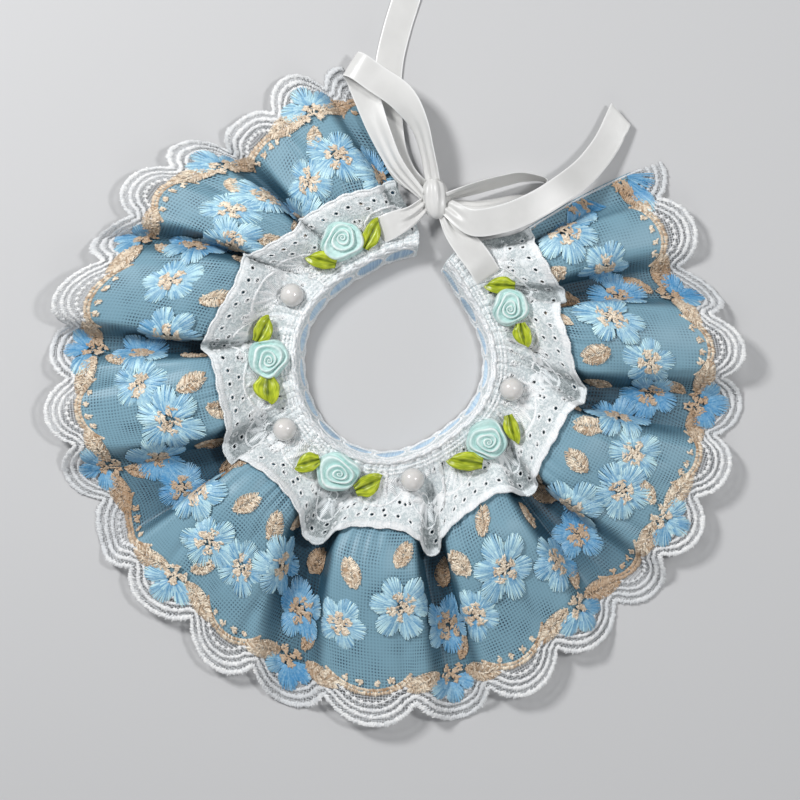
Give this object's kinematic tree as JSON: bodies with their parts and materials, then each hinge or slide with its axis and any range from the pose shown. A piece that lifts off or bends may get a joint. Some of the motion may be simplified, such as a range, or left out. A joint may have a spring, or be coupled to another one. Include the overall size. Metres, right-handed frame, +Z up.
{
  "type": "lace pet collar",
  "caption": "Lace bib collar for a small pet, laid flat: a gathered organza ruffle under a cotton eyelet frill, with ribbon roses and half-round pearls, tied in a satin bow.",
  "frame": {"origin": "middle of the part's box, on the surface that it lies on", "axes": "+Z up out of the surface, +Y from the front of the bib towards the bow and the neck's opening at the back, +X to the right as seen from above"},
  "size_m": [0.2518, 0.2742, 0.0156],
  "materials": {
    "organza": "sheer blue organza over net, with woven flowers",
    "net": "fine white net with corded scallops",
    "eyelet_cotton": "matt cotton with embroidered eyelets",
    "band_lace": "matt white lace with pale blue ovals",
    "satin": "off-white satin ribbon",
    "rose_satin": "mint satin ribbon",
    "leaf_satin": "lime satin ribbon",
    "pearl": "glossy half-round pearl"
  },
  "bodies": {
    "root": {"ruffle_organza": "organza", "ruffle_net_edge": "net", "eyelet_frill": "eyelet_cotton", "neck_band": "band_lace", "tie_left": "satin", "tie_right": "satin", "bow_knot": "satin", "bow_loop_left": "satin", "bow_loop_right": "satin", "bow_tail_up": "satin", "bow_tail_right": "satin", "rose_1": "rose_satin", "rose_2": "rose_satin", "rose_3": "rose_satin", "rose_4": "rose_satin", "rose_5": "rose_satin", "leaf_1a": "leaf_satin", "leaf_1b": "leaf_satin", "leaf_2a": "leaf_satin", "leaf_2b": "leaf_satin", "leaf_3a": "leaf_satin", "leaf_3b": "leaf_satin", "leaf_4a": "leaf_satin", "leaf_4b": "leaf_satin", "leaf_5a": "leaf_satin", "leaf_5b": "leaf_satin", "pearl_1": "pearl", "pearl_2": "pearl", "pearl_3": "pearl", "pearl_4": "pearl"}
  },
  "joints": []
}
